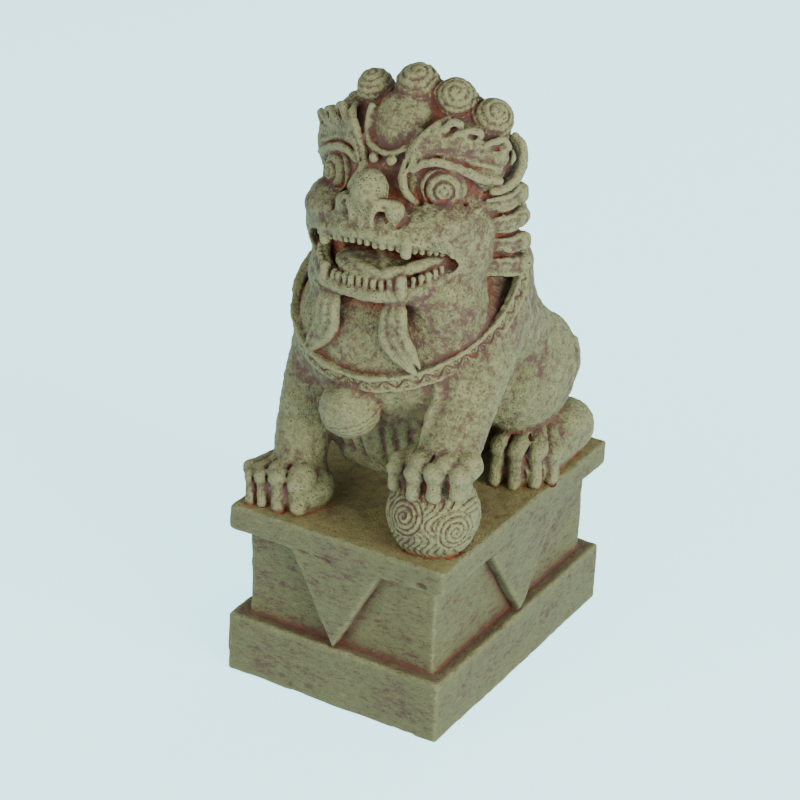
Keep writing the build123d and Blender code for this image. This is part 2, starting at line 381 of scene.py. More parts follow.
# ---------------------------------------------------------------- the lion's body
SIDES = {"left": 1, "right": -1}
LEAN = 0.07  # the head's right side sits lower by twice this share of the offset
clay = Clay(BODY - (56, 76, 4), (56, 76, node_box("crown_curls")[1][2] + 7), FIGURE_STEP)


def body(x, y, z, side=1):
    """A place on the body; side -1 mirrors it from the left to the right."""
    return BODY + (side * x, y, z)


def face(x, y, z, side=1):
    """A place on the head. The head leans to its right, so what is on that side sits lower."""
    return FACE + (side * x, y, z + 2 * LEAN * min(side * x, 0))


def lump(name, centre, radii, blend, turn=None):
    clay.add(name, egg(centre, radii, turn), blend)


def lay(name, place, side, points, radii, blend):
    """Add a smooth strand through places on the body or the head."""
    clay.add(name, strand([place(*p, side) for p in points], radii), blend)


def sculpt_deck():
    """The top of the plinth, so that the feet end on it. Its own mesh comes later."""
    clay.add("deck", block(BODY - (0, 0, 10), (60, 80, 10), 0.2), blend=0)


def sculpt_trunk():
    lump("torso", body(0, 6, 56), (36, 42, 42), 4, tipped(30))
    lump("torso", body(0, 10, 92), (37, 28, 26), 8)
    lump("rump", body(0, 32, 36), (34, 27, 36), 6)
    lump("bib", body(0, -21, 73), (44, 39.5, 38), 5)
    clay.add("torso", rod(body(26, -4, 84), body(27, 24, 60), 18, 16), 8)  # shoulders
    clay.add("torso", rod(body(-23, -2, 80), body(-25, 24, 60), 17, 16), 8)
    clay.add("torso", block(body(0, -27, 38), (22, 10, 26), 8), 4)
    for side in (1, -1):
        clay.add("torso", rod(body(9, -41, 54, side), body(8, -28, 20, side), 9, 7), 3)
        clay.add("torso", rod(body(15, -37, 54, side), body(14, -25, 20, side), 11, 9), 3)
    for side in (1, -1):
        for i in range(4):
            # the folds of the chest, between the forelegs
            x = 3 + 6 * i
            foot = [(x - 1, -40 + i, 28), (x - 1.5, -33 + i, 17)]
            fold = [(x, -49 + 1.2 * i, 56), (x - 0.5, -45 + i, 42), *foot]
            lay("torso", body, side, fold, (2.6, 2.8, 2.8, 2), 1.8)


FORELEGS = {
    # places up the leg and the radii there
    "right": ([(-31.5, -47, 12), (-31.5, -43, 36), (-30.5, -37, 52), (-27, -24, 72)], (11, 11, 12.6, 16.5)),
    "left": ([(39, -51, 38), (38.5, -46, 46), (36, -37, 58), (30, -20, 76)], (11, 11.8, 14, 19)),
}


def sculpt_forelegs():
    for side, (path, radii) in FORELEGS.items():
        lay(f"{side}_foreleg", body, 1, path, radii, 5)
    crease = [(29.5, -54.5, 45), (30.5, -53.5, 52), (31.5, -51, 60), (31, -48, 68)]
    lay("left_foreleg", body, 1, crease, (1.4, 1.6, 1.5, 0.9), 3)


def sculpt_haunches():
    for side, sign in SIDES.items():
        name = f"{side}_haunch"
        lump(name, body(31, 29, 43, sign), (16.5, 28, 26), 4, tipped(6))
        # a spiral ridge and leaf strokes on the outer thigh
        hub = body(46, 36, 45, sign)
        swirl = [
            hub + (sign * (0.4 - 0.022 * r * r), r * math.cos(t), r * math.sin(t))
            for t, r in ((0.5 * i, 2 + 0.85 * i) for i in range(15))
        ]
        clay.add(name, strand(swirl, 1.2, 3), 2)
        for i in range(3):
            start = body(40 + i, 12 + 3 * i, 34 + 9 * i, sign)
            end = body(37, 18 + 5 * i, 60 + 6 * i, sign)
            clay.add(name, strand([start, (start + end) / 2 + (3 * sign, -3, 0), end], 1.2, 3), 2)


# ---------------------------------------------------------------- paws
def toe(name, back, knuckle, top, foot, width):
    """A round knuckle over an upright block, with a claw down its front and a round hood over the claw."""
    half = width / 2
    forward = foot - back
    forward[2] = 0
    ahead = forward / np.linalg.norm(forward) * half
    lift = np.array([0, 0, half * 0.5])
    clay.add(name, rod(back, knuckle, half * 0.85, half), 1.2)
    lump(name, knuckle + ahead * 0.1, half * 1.1, 1)
    clay.add(name, rod(knuckle, top - ahead * 0.6 + lift, half, half * 0.9), 1)
    clay.add(name, rod(top - ahead * 1.2, foot - ahead * 1.25, half * 0.95, half * 0.9), 1)
    clay.add(name, rod(top - ahead * 0.3, foot - ahead * 0.2, half * 0.7, half * 0.66), 0.7)
    lump(name, top - ahead * 0.35 + lift, half * 0.98, 0.8)


TOE_GROOVE = ((0, 0, 2.5), (0, -1.2, 2.4), (0, -1.2, 0), (0, 0, 0))  # its shift from midway between two toes


def sculpt_toes(name, rows, side=1):
    """The toes of a paw, with deep grooves between neighbours."""
    toes = [[body(*p, side) for p in row[:4]] for row in rows]
    for places, row in zip(toes, rows):
        toe(name, *places, row[4])
    for one, other in zip(toes, toes[1:]):
        groove = (np.array(one) + np.array(other)) / 2 + TOE_GROOVE
        clay.carve(strand(groove, (0.5, 0.8, 0.95, 0.9), 4), 0.5, [name])


RIGHT_TOES = (
    # back, knuckle, the claw's top and foot, width
    ((-41, -48, 16), (-47.4, -57, 11.3), (-45, -62.6, 8.7), (-43, -65, 2), 6.6),
    ((-37, -49, 18), (-41.6, -58.3, 12.6), (-39.7, -62.8, 10.4), (-37.7, -65, 2), 6.8),
    ((-32, -49, 20), (-33.6, -58.3, 14.2), (-32, -62.6, 11.4), (-30.9, -64.3, 2.2), 8.4),
    ((-27, -49, 21), (-24.2, -56, 14.6), (-23.6, -60.6, 9.8), (-21.9, -62.2, 2.8), 10.4),
)
LEFT_TOES = (
    ((25, -52, 38), (20.4, -57, 35.4), (19.6, -60.2, 31.6), (20.8, -61.2, 26.6), 6.8),
    ((31, -51, 42), (32.2, -59.5, 38.6), (31, -64.4, 33), (31.4, -65, 27), 9.2),
    ((39, -50, 45), (42.8, -58.5, 40.6), (39.8, -64, 35.4), (40.4, -64.6, 29), 9.2),
    ((45, -48, 46), (50, -54.5, 40.2), (49.6, -61.6, 35.8), (49.6, -62.4, 31.4), 9.6),
)
HIND_TOES = (
    ((30, 18, 25), (31, 10, 18.2), (30.4, 6.2, 15), (30.2, 5.2, 2.4), 8),
    ((35, 20, 25), (38, 11.5, 18.4), (38, 7.4, 15.2), (38.4, 6.6, 2.4), 8.4),
    ((39, 24, 23.5), (43.6, 15.5, 17), (44.8, 12.4, 14.4), (45.4, 11.8, 2.6), 8.6),
    ((41, 31, 20), (46, 23.5, 13.2), (48.2, 20.4, 11), (48.8, 20.2, 2.8), 9),
)


def sculpt_forepaws():
    lump("right_forepaw", body(-31, -50, 8), (16.5, 13, 11), 2.5)
    lump("right_forepaw", body(-23.5, -50, 6), (7.5, 11, 8), 2.5)
    lump("right_forepaw", body(-26.5, -51, 19.5), (5.5, 5, 4.5), 1.5)
    lump("right_forepaw", body(-32, -55.5, 7), (14.5, 7.5, 8), 2)
    lump("left_forepaw", body(35.5, -51.5, 36), (15.5, 10, 8), 2.5)
    sculpt_toes("right_forepaw", RIGHT_TOES)
    sculpt_toes("left_forepaw", LEFT_TOES)


def sculpt_hind_paws():
    for side, sign in SIDES.items():
        name = f"{side}_hind_paw"
        lump(name, body(36, 20, 7, sign), (12, 13, 9), 2.5)
        clay.add(name, rod(body(38, 27, 9, sign), body(38, 53, 11, sign), 11, 12), 3)
        lump(name, body(40, 44, 17, sign), (10, 13, 8), 3)
        lump(name, body(33, 19, 15, sign), (10, 9, 11), 2)
        sculpt_toes(name, HIND_TOES, sign)


# ---------------------------------------------------------------- ball
def spiral_wave(x, y, z, hub, pole, spacing, reach, turns=1):
    """A spiral ridge round a pole of the hub, 0 in its grooves, and how much of it there is, 1 to 0."""
    pole = np.array(pole, float) / np.linalg.norm(pole)
    side = np.cross(pole, (0, 0, 1) if abs(pole[2]) < 0.9 else (1, 0, 0))
    side /= np.linalg.norm(side)
    other = np.cross(pole, side)
    p = away(x, y, z, hub)
    ahead, u, v = (dot(p, way) for way in (pole, side, other))
    length = np.sqrt(u * u + v * v + ahead * ahead) + 1e-6
    arc = length * np.arccos(np.clip(ahead / length, -1, 1))
    wave = np.abs(np.sin(math.pi * (arc / spacing - turns * np.arctan2(v, u) / (2 * math.pi))))
    return wave, clamp((reach - arc) / (0.4 * spacing))


BALL_POLES = ((0.86, -0.5, 0), (-0.2, -0.93, 0.25), (-0.9, -0.2, -0.1), (0.7, 0.7, 0.1), (-0.4, 0.9, 0))
SPIRAL_PITCH = 2.3  # from one turn of a spiral to the next
SPIRAL_REACH = 9.5
BAND_PITCH = 2.6  # of the wavy lines between the spirals
ENGRAVING = 0.95  # depth


def sculpt_ball():
    low, high = node_box("ball")
    radius = (high[0] - low[0]) / 2
    hub = np.array([(low[0] + high[0]) / 2, (low[1] + high[1]) / 2, high[2] - radius])
    lump("ball", hub, radius, 0)

    def engraving(x, y, z):
        cover, depth = 0, 0
        for pole in BALL_POLES:
            wave, inside = spiral_wave(x, y, z, hub, pole, SPIRAL_PITCH, SPIRAL_REACH)
            depth = depth + inside * (1 - cover) * clamp(1.25 - wave * 2)
            cover = np.maximum(cover, inside)
        drift = np.sin((z - hub[2]) * 0.45) * 2.2
        bands = np.abs(np.sin((x - hub[0] + drift) * math.pi / BAND_PITCH))
        depth = depth + (1 - cover) * clamp(1.2 - bands * 2.4)
        return -ENGRAVING * depth

    clay.relief("ball", hub - radius - 2, hub + radius + 2, engraving)


# ---------------------------------------------------------------- collar and bell
def along(line, x, y, z, outward_from):
    """Coordinates beside a curve: arc length, distance across and distance outward, and the gap to it."""
    shape = np.broadcast(x, y, z).shape
    best = np.full(shape, 1e9, np.float32)
    arc, across, out = (np.zeros(shape, np.float32) for _ in range(3))
    travelled = 0.0
    for a, b in zip(line[:-1], line[1:]):
        run = b - a
        length = float(np.linalg.norm(run))
        t = run / length
        n = (a + b) / 2 - outward_from
        n -= t * (n @ t)
        n /= np.linalg.norm(n)
        w = np.cross(t, n)
        p = away(x, y, z, a)
        s = np.clip(dot(p, t), 0, length)
        q = [p[i] - s * t[i] for i in range(3)]
        gap = dot(q, q)
        nearer = gap < best
        best = np.where(nearer, gap, best)
        arc = np.where(nearer, travelled + s, arc)
        across = np.where(nearer, dot(q, w), across)
        out = np.where(nearer, dot(q, n), out)
        travelled += length
    return arc, across, out, np.sqrt(best)


COLLAR_MIDDLE = (-20, 91)  # how far back and how high the ring's middle is
COLLAR_RADII = (44.5, 41)
COLLAR_SLANT = 0.6  # its rise towards the back
COLLAR_HALF_WIDTH = 3.6
COLLAR_THICKNESS = 1.7
SCROLL_PITCH = 8.0


def sculpt_collar():
    turns = np.radians(np.linspace(-108, 122, 41))
    line = np.array([
        body(
            COLLAR_RADII[0] * math.sin(t),
            COLLAR_MIDDLE[0] - COLLAR_RADII[1] * math.cos(t),
            COLLAR_MIDDLE[1] - COLLAR_SLANT * COLLAR_RADII[1] * math.cos(t),
        )
        for t in turns
    ])
    neck = body(0, -20, 82)

    def band(x, y, z):
        _, across, out, gap = along(line, x, y, z, neck)
        edge = np.abs(across) - COLLAR_HALF_WIDTH
        wide, thick = edge + 1, np.abs(out) - COLLAR_THICKNESS + 1
        flat = np.sqrt(np.maximum(wide, 0) ** 2 + np.maximum(thick, 0) ** 2)
        flat = flat + np.minimum(np.maximum(wide, thick), 0) - 1
        rims = np.sqrt((edge + 0.6) ** 2 + (out - COLLAR_THICKNESS + 0.4) ** 2) - 0.8
        return np.maximum(smooth_min(flat, rims, 0.5), gap - 7)

    low, high = line.min(0) - 6, line.max(0) + 6
    clay.add("collar", (low, high, band), 0.5)

    def scrolls(x, y, z):
        arc, across, out, _ = along(line, x, y, z, neck)
        phase = arc * 2 * math.pi / SCROLL_PITCH
        vine = np.abs(across - 1.4 * np.sin(phase))
        curl = np.abs(np.sqrt((across + 0.8 * np.sin(phase)) ** 2 + (2.2 * np.cos(phase)) ** 2) - 1.1)
        groove = clamp(1.3 - vine / 0.65) + 0.8 * clamp(1 - curl / 0.5)
        inner = clamp((COLLAR_HALF_WIDTH - 1.1 - np.abs(across)) / 0.5)
        return -1.15 * clamp(groove) * inner * (out > 0)

    clay.relief("collar", low, high, scrolls)


def sculpt_bell():
    hub = centre_of("bell")
    radius = (node_box("bell")[1] - node_box("bell")[0])[2] / 2
    lump("bell", hub, radius, 0.8)
    loop = hub + (0, 1.5, radius)
    clay.add("bell", rod(loop, loop + (0, 3, 3), 2.6, 2.2), 1)

    def ribs(x, y, z):
        p, q, r = away(x, y, z, hub)
        rise = r * 0.8 - q * 0.25 - p * 0.2
        arcs = np.abs(np.sin((rise + 1.2) * math.pi / 2))
        return -0.5 * clamp(1.2 - arcs * 2.2) * clamp((-rise - 0.5) / 0.8)

    clay.relief("bell", hub - radius - 2, hub + radius + 2, ribs)
    slit = [hub + (x, -radius * 0.75, -radius * 0.75) for x in (-4, 4)]
    clay.carve(rod(*slit, 0.7, 0.7), 0.4)


BEARD = (
    [(11.5, -18.5, -42.5), (11.5, -20, -48), (11.5, -20.5, -57), (16.5, -20.5, -63.5), (23.5, -18.5, -69.5)],
    [(14, -18.5, -42.5), (14.6, -20.2, -48), (15, -20, -55.5), (19, -19.5, -61.5), (24, -18, -69)],
    [(16.5, -17.5, -42.5), (17.4, -19.2, -47.5), (18.5, -19, -54.5), (22, -18, -61), (25.5, -17.5, -67)],
)


def sculpt_beard():
    for side, sign in SIDES.items():
        for path in BEARD:
            lay(f"{side}_beard", face, sign, path, (1.2, 2.3, 2.3, 1.9, 0.8), 1.1)


def sculpt_tail():
    """A flame of three locks that curls up the back."""
    lay("tail", body, 1, [(0, 56, 8), (0, 62, 30), (0, 56, 55), (0, 46, 72)], (6, 8.5, 7, 2.5), 3)
    for side in (1, -1):
        lock = [(2, 60, 12), (8, 62, 30), (7, 58, 50), (2, 49, 68)]
        lay("tail", body, side, lock, (3.5, 4.5, 3.6, 1.4), 0.8)
        curl = [(5, 62, 18), (12, 58, 28), (14, 54, 36), (11, 55, 41), (9, 57, 37)]
        lay("tail", body, side, curl, (3, 3.4, 2.6, 2, 1.6), 0.8)
    lay("tail", body, 1, [(0, 65, 14), (0, 70, 32), (0, 63, 54), (0, 50, 72)], (2.4, 2.6, 2.2, 1), 0.6)


# ---------------------------------------------------------------- the head
def sculpt_skull():
    lump("head", face(0, 22, -9), (35, 31, 34), 0)
    lump("head", face(0, 15, 10), (28, 17, 18), 6)
    lump("snout", face(0, -3, -15), (27, 19, 8.5), 4)
    lump("lower_jaw", face(0, -2, -40.5), (27, 21.5, 6.5), 2)
    for side in (1, -1):
        lump("head", face(26, 8, -22, side), (13, 17, 19), 5)  # the jowls
        lump("snout", face(23, -1.5, -14, side), (12.5, 12, 9.5), 5)  # the cheeks
        lump("snout", face(19, -8.5, -14.5, side), (7.5, 6.5, 5.5), 2.5)
        lump("lower_jaw", face(22, 5, -42, side), (14, 18, 11), 5)


def jaw_point(turn, inset, height):
    """A place on the arch of the jaws; turn is in degrees from the front."""
    t = math.radians(turn)
    return face((31 - inset) * math.sin(t), 2 - (26 - inset) * math.cos(t), height)


JAW_END = 84  # where the lips meet, in degrees from the front
JAW_TURNS = np.linspace(-JAW_END, JAW_END, 29)
TOOTH_PITCH = 6.2  # degrees


def upper_gum(turn):
    return -17.5 - 5.8 * (turn / JAW_END) ** 2


def lower_gum(turn):
    return -39.3 + 10.0 * (turn / JAW_END) ** 2


def jaw_arch(gum, inset, height, radius):
    """Rods round the whole arch of a jaw, at a height from its gum."""
    line = [jaw_point(turn, inset, gum(turn) + height) for turn in JAW_TURNS]
    return [rod(a, b, radius, radius) for a, b in zip(line, line[1:])]


TEETH = (
    # name, gum, direction, lengths in the middle and at the end, canine's turn and length, inset, radius
    ("upper_teeth", upper_gum, -1, 3.2, 3.2, 36, 5, 2.4, 1.5),
    ("lower_teeth", lower_gum, 1, 5.4, 4.4, 34, 6.6, 2.2, 1.4),
)
TONGUE_RIDGES = (
    ([(-14, -8, -30.5), (-8, -15, -30.3), (1, -19.5, -31), (9, -20, -32)], 1.7),
    ([(-5, -2, -28.5), (2, -9, -28.6), (7, -15.5, -29.8), (11, -19.5, -31.5)], 1.3),
    ([(11, -18.5, -31), (18, -13, -29.5), (24, -5, -27.2), (26, 1, -26.2)], 2.4),
)


def sculpt_mouth():
    """The open mouth: a wide cut round the muzzle, then lips, gums, teeth and tongue."""
    gap, radii = [], []
    for turn in JAW_TURNS:
        top, bottom = upper_gum(turn), lower_gum(turn)
        half = (top - bottom) / 2
        gap.append(jaw_point(turn, 0.45 * half, (top + bottom) / 2))
        radii.append(half)
    clay.carve([rod(a, b, p, q) for a, b, p, q in zip(gap, gap[1:], radii, radii[1:])], 0.8)
    lump("lower_jaw", face(25, 3, -50), (14, 15, 17), 6)
    for name, gum, up in (("snout", upper_gum, 1), ("lower_jaw", lower_gum, -1)):
        clay.add(name, jaw_arch(gum, 1.8, up * 1.4, 1.2), 3.5)
        clay.add(name, jaw_arch(gum, 2.6, up * 0.6, 2.2), 1)
    for name, gum, up, middle, end, canine, fang, inset, stout in TEETH:
        for i in range(-11, 12):
            turn = i * TOOTH_PITCH
            if abs(abs(turn) - canine) < 4.0:
                continue
            long = middle + (end - middle) * abs(turn) / JAW_END
            root = jaw_point(turn, inset, gum(turn) - up * 0.8)
            tip = jaw_point(turn, inset - 0.3, gum(turn) + up * (long - 1))
            clay.add(name, rod(root, tip, stout, stout * 0.9), 0.15)
        clay.add(name, jaw_arch(gum, inset + 2.2, up * (0.7 * middle - 1.6), 1.9), 0.3)
        for turn in (canine, -canine):
            root = jaw_point(turn, 1.4, gum(turn) - up * 1)
            tip = jaw_point(turn, 0.9, gum(turn) + up * (fang - 1.5))
            clay.add(name, rod(root, tip, 2.6, 2), 0.4)
    lump("tongue", face(1, -8, -33.5), (18, 14, 5), 0.8)
    for path, radius in TONGUE_RIDGES:
        lay("tongue", face, 1, path, radius, 1.2)


def sculpt_nose():
    lump("snout", face(-0.6, -15.6, -1.8), (6.9, 7.4, 8.4), 1.2)
    clay.add("nose", rod(face(-0.4, -17, -4), face(0, -20.5, -13), 5.2, 2.2), 1.5)
    for side in (1, -1):
        lump("nose", face(10.9, -15.8, -7.4, side), (4, 4.2, 4.3), 2.2)
        clay.carve(egg(face(6, -22.6, -10.2, side), (1.6, 1.7, 3.2)), 1)
        arch = [(3.2, -20, -14.5), (3.6, -21, -9), (5.2, -20.6, -5), (7.8, -19.3, -3.6), (10, -17.6, -4.6)]
        lay("nose", face, side, arch, 1, 2.2)
        inner = [(4.6, -20.5, -14), (4.5, -21.5, -9.5), (6, -21, -6), (7.8, -19.5, -6.2)]
        lay("nose", face, side, inner, 0.9, 1.4)
        fold = [(14.8, -13, -3.5), (16, -14, -8), (13.5, -17.5, -12.5)]
        clay.carve(strand([face(*p, side) for p in fold], (0.6, 1.3, 0.7)), 1.2)
    for i in range(3):
        z = -14.6 - 1.5 * i
        lip = [face(-8.5, -19.5, z), face(0, -22.6 + 0.3 * i, z - 0.3), face(8.5, -19.5, z)]
        clay.add("snout", strand(lip, 0.75, 3), 0.5)


EYE_TURN = 30.0  # degrees that the eyes look outward
EYE_RADIUS = 11.5
EYE_RIM = 8.8


def sculpt_eye(name, sign):
    turn = math.radians(EYE_TURN)
    look = np.array([sign * math.sin(turn), -math.cos(turn), 0.06])
    look /= np.linalg.norm(look)
    depth = math.sqrt(EYE_RADIUS**2 - EYE_RIM**2)  # from the hub to the plane of the rim
    hub = face(23.3, -1.6, 0, sign) - look * depth
    nose_side = np.cross(look, (0, 0, sign))
    nose_side /= np.linalg.norm(nose_side)

    def around(x, y, z):
        """Distance from the eye's axis, height over its hub, and 1 towards the nose, 0 away from it."""
        p = away(x, y, z, hub)
        ahead = dot(p, look)
        from_axis = np.sqrt(np.maximum(dot(p, p) - ahead**2, 0))
        return from_axis, ahead, 0.5 + 0.5 * dot(p, nose_side) / np.maximum(from_axis, 1e-3)

    def dome(x, y, z):
        from_axis, ahead, _ = around(x, y, z)
        ball = np.sqrt(from_axis**2 + ahead**2) - EYE_RADIUS
        return smooth_max(ball, from_axis - EYE_RIM, 1.6)

    def moat(x, y, z):
        from_axis, ahead, nasal = around(x, y, z)
        return np.sqrt((from_axis - EYE_RIM - 1.2) ** 2 + (0.8 * (ahead - depth)) ** 2) - 0.6 - 0.9 * nasal

    def rings(x, y, z):
        r, ahead, nasal = around(x, y, z)
        pupil = 0.5 * clamp((3.2 - r) / 0.5) - 1.0 * clamp(1.2 - np.abs(r - 3.7) / 0.6)
        inner_ring = -0.7 * clamp(1.2 - np.abs(r - 1.7) / 0.5)
        rim = -(0.4 + 1.0 * nasal) * clamp(1.2 - np.abs(r - 6.9) / 0.7)
        return (pupil + inner_ring + rim) * (ahead > 0)

    clay.carve((hub - 16, hub + 16, moat), 0.8)
    clay.add(name, (hub - EYE_RADIUS, hub + EYE_RADIUS, dome), 0.2)
    clay.relief(name, hub - 13, hub + 13, rings)


# the brow's locks, from the nose outward: (points, radii); the ends turn back in hooks
BROWS = (
    (
        [(15, -4.5, -7.5), (12, -9, -2.5), (9.3, -8.5, 2.5), (8.5, -6, 7)]
        + [(10.5, -5.5, 12.5), (14.5, -4, 19), (18.3, 0, 23.3), (20, 5, 25)],
        (1.5, 1.8, 1.7, 1.6, 1.6, 1.7, 1.6, 1.2),
    ),
    (
        [(13.5, -4, 16), (18, -2.5, 20), (21.5, 0, 22.5), (24, 1.5, 25.2), (26.5, 3, 24.3), (25.5, 3, 22)],
        (1.2, 1.6, 1.7, 1.6, 1.4, 1.1),
    ),
    (
        [(14, -4.5, 14), (19, -2.5, 17.5), (23, 0, 19), (27.5, 2, 21.5)]
        + [(31.5, 4.5, 22.6), (33.8, 6, 21.5), (32.5, 6, 19.3)],
        (1.2, 1.5, 1.5, 1.5, 1.6, 1.4, 1.1),
    ),
    (
        [(20, -1.5, 15), (27, 1.5, 16.4), (34, 6.5, 16.8), (37.5, 9, 18.6)]
        + [(40, 12, 19), (41, 13.5, 16), (38.5, 12, 13.5)],
        (1.1, 1.2, 1.3, 1.5, 1.6, 1.5, 1.2),
    ),
    ([(20, -2, 16.5), (27, 1.5, 18), (34, 6.5, 18.2)], (0.9, 1, 0.8)),
    ([(10.5, -7, 6), (12.5, -6, 12), (17, -4, 17.5), (21, -2, 20)], (0.6, 0.9, 0.9, 0.6)),
    ([(12.5, -6, 9), (16, -4.5, 14.5), (22, -1.5, 18.5), (29, 2.5, 20.3)], (0.6, 0.9, 0.9, 0.6)),
    ([(14, -5, 12), (20, -2.5, 15.8), (27, 1.2, 17.8), (33, 5.5, 19.6)], (0.6, 0.9, 0.9, 0.6)),
    ([(22, -1, 13.2), (29, 3, 14.6), (37, 9, 13.4)], (0.9, 1, 0.8)),
    ([(26, 1.5, 12.4), (32, 5.4, 12.6), (38, 10.4, 11.2)], (0.8, 0.9, 0.7)),
)
LIDS = (
    (
        [(11, -5.5, 9.5), (13.5, -4.8, 12.6), (18.5, -2.8, 13.8), (23, -0.6, 13.6)]
        + [(27.5, 2, 12.2), (33, 5.6, 10), (38, 10, 8.2)],
        (1.2, 1.4, 1.4, 1.4, 1.3, 1.2, 1),
    ),
    (
        [(12.5, -6, 6.5), (16.5, -5, 9.6), (21.5, -3.2, 10.4), (26, -0.6, 9.2)]
        + [(30.5, 2.8, 6.8), (35, 7, 4.2), (39.5, 12, 2.6)],
        (1.3, 1.8, 2, 2, 2, 2, 1.6),
    ),
)
THINNER = 0.92  # the share of those radii that is used
HOLLOWS = ((24.2, 0.8, 22.6), (31.3, 4.2, 20.6), (38.2, 10.4, 15.4))  # the dark hollows in the hooks


def sculpt_brows():
    for side, sign in SIDES.items():
        name = f"{side}_brow"
        clay.add(name, rod(face(14, 3.4, 13.2, sign), face(24, 8, 16.2, sign), 6.5, 7.4), 3)
        clay.add(name, rod(face(24, 8, 16.2, sign), face(34, 15, 12.2, sign), 7.4, 7.2), 3)
        clay.add(name, rod(face(16, 1.6, 10, sign), face(35, 13, 6, sign), 4, 4.5), 2)
        lump("head", face(32, 14, 4, sign), (6, 7, 7), 3)
        for path, radii in BROWS + LIDS:
            lay(name, face, sign, path, THINNER * np.array(radii), 1.1)
        pouch = [(14, -8.5, -8), (18.5, -7, -11.5), (25, -4, -12.5), (31, 0, -11), (36, 5, -7)]
        lay("head", face, sign, pouch, (0.8, 1.1, 1.2, 1, 0.6), 2.2)  # under the eye
        for hollow in HOLLOWS:
            clay.carve(egg(face(*hollow, sign), 1.1), 0.8)
        lump("head", face(3.9, -7.5, 8.7, sign), 1.9, 0.3)  # a bead over the nose


def sculpt_boss():
    lump("forehead_boss", face(1.5, 5, 20.5), (12, 8.5, 12), 2, tipped(-25))
    rim = [(-10.5, 1, 26), (-10.8, -1.5, 20), (-8.3, -4.5, 13.5), (0.2, -6.3, 10.4), (8.6, -4.5, 13.8)]
    lay("forehead_boss", face, 1, [*rim, (12, -1.5, 20)], 1.2, 2.2)


def sculpt_ears():
    for side, sign in SIDES.items():
        name = f"{side}_ear"
        lump(name, face(36, 26, 7, sign), (6, 9, 9), 2)
        hook = [(37, 12, -2), (41, 16, -0.5), (43.6, 19, 4), (44.2, 20.5, 9), (43.4, 21, 15), (40, 21, 18)]
        lay(name, face, sign, hook, (1.5, 1.7, 1.8, 1.7, 1.6, 1.4), 0.6)
        hollow = [face(*p, sign) for p in ((41, 17, 14.5), (41.5, 16.5, 9), (39.5, 15, 4.5))]
        clay.carve(strand(hollow, 1.6), 0.8)
        flame = [(41, 17.5, 13), (41.6, 17.2, 10.5), (41.2, 17, 8.5)]
        lay(name, face, sign, flame, (0.6, 1.1, 0.6), 0.3)


MANE_LOCKS = (
    # how high, how far sideways and how far back from the eyes a lock ends, and its sag towards the face
    (-5.5, 41, 24, 3),
    (-15.5, 41, 25, 1),
    (-25.5, 42, 26, -0.5),
    (-35.5, 42, 27, -2.5),
)


def moved(line, step, side):
    """The places of a line on the head, all moved by the step."""
    return [face(*(np.array(p) + step), side) for p in line]


def sculpt_mane_locks():
    """Broad bands on each side of the face: two raised rims with a hollow between, ending in a roll."""
    for side, sign in SIDES.items():
        name = f"{side}_mane_locks"
        for k, (rise, out, back, sag) in enumerate(MANE_LOCKS):
            middle = ((35 + out) / 2 + 2.2, 18 + k, rise - sag * 0.6 - 0.5)
            line = ((35, 11 + k, rise - sag), middle, (out, back, rise))
            clay.add(name, strand(moved(line, (-2.6, 1, 0), sign), (3.6, 4.3, 4.3)), 0.8)
            for edge in (2.9, -2.9):
                clay.add(name, strand(moved(line, (0.6, -0.6, edge), sign), (0.7, 1, 1.1)), 1)
            clay.add(name, strand(moved(line, (0.6, 0, 0.3), sign), (0.4, 0.6, 0.7)), 0.9)
            if k:
                clay.carve(strand(moved(line, (2, 0, 5), sign), (0.7, 1, 1.3)), 1.2, [name])
            lump(name, face(out + 0.6, back + 1.5, rise, sign), (3.2, 4, 4.2), 0.4)
            groove = [
                face(out + 3.6, back - 1.0 + 2.6 * math.cos(t), rise + 2.4 * math.sin(t), sign)
                for t in np.linspace(-2.2, 2.2, 8)
            ]
            clay.carve(strand(groove, 0.6, 1), 0.4, [name])


def shell(name, centre, radius, pole, hand):
    """A snail-shell curl: a dome with a spiral ridge that winds down from its pole."""
    lump(name, centre, radius * 0.97, 2.6)

    def coil(x, y, z):
        wave, inside = spiral_wave(x, y, z, centre, pole, radius * 0.37, radius * 1.9, hand)
        return inside * (np.sqrt(wave) - 0.62) * radius / 8.5

    clay.relief(name, centre - radius - 2, centre + radius + 2, coil)


CROWN = (
    # centre, radius, hand, pole
    ((-15.5, 12, 30), 7.4, 1, (-0.2, -0.35, 0.95)),
    ((2.2, 13, 31.6), 8.8, -1, (0.1, -0.4, 0.95)),
    ((17.6, 15, 29.4), 8, 1, (0.35, -0.7, 0.7)),
    ((30.5, 19, 22.6), 8.4, -1, (0.6, -0.4, 0.7)),
    ((-26, 18, 20), 6.5, -1, (-0.6, -0.2, 0.8)),
    ((-33, 27, 15), 7, 1, (-0.8, 0.1, 0.6)),
    ((-24, 31, 19), 7.6, 1, (-0.5, 0.3, 0.9)),
    ((-8, 31, 21), 8.4, -1, (-0.1, 0.3, 1)),
    ((9, 33, 20), 8.4, 1, (0.1, 0.3, 1)),
    ((23, 33, 12), 8, 1, (0.7, 0.3, 0.8)),
    ((-29, 42, 6), 7.6, -1, (-0.7, 0.6, 0.4)),
    ((-15, 46, 10), 8.2, 1, (-0.3, 0.8, 0.6)),
    ((1, 49, 10), 8.4, -1, (0, 0.8, 0.6)),
    ((16, 47, 5), 8, 1, (0.3, 0.8, 0.6)),
    ((28, 40, -1), 7.6, -1, (0.8, 0.5, 0.3)),
)
NAPE_ROWS = ((-8, 20, 4), (-24, 24, 4), (-40, 25, 4), (-56, 22, 3))  # height, half width, curls
NAPE_RADIUS = 8.6


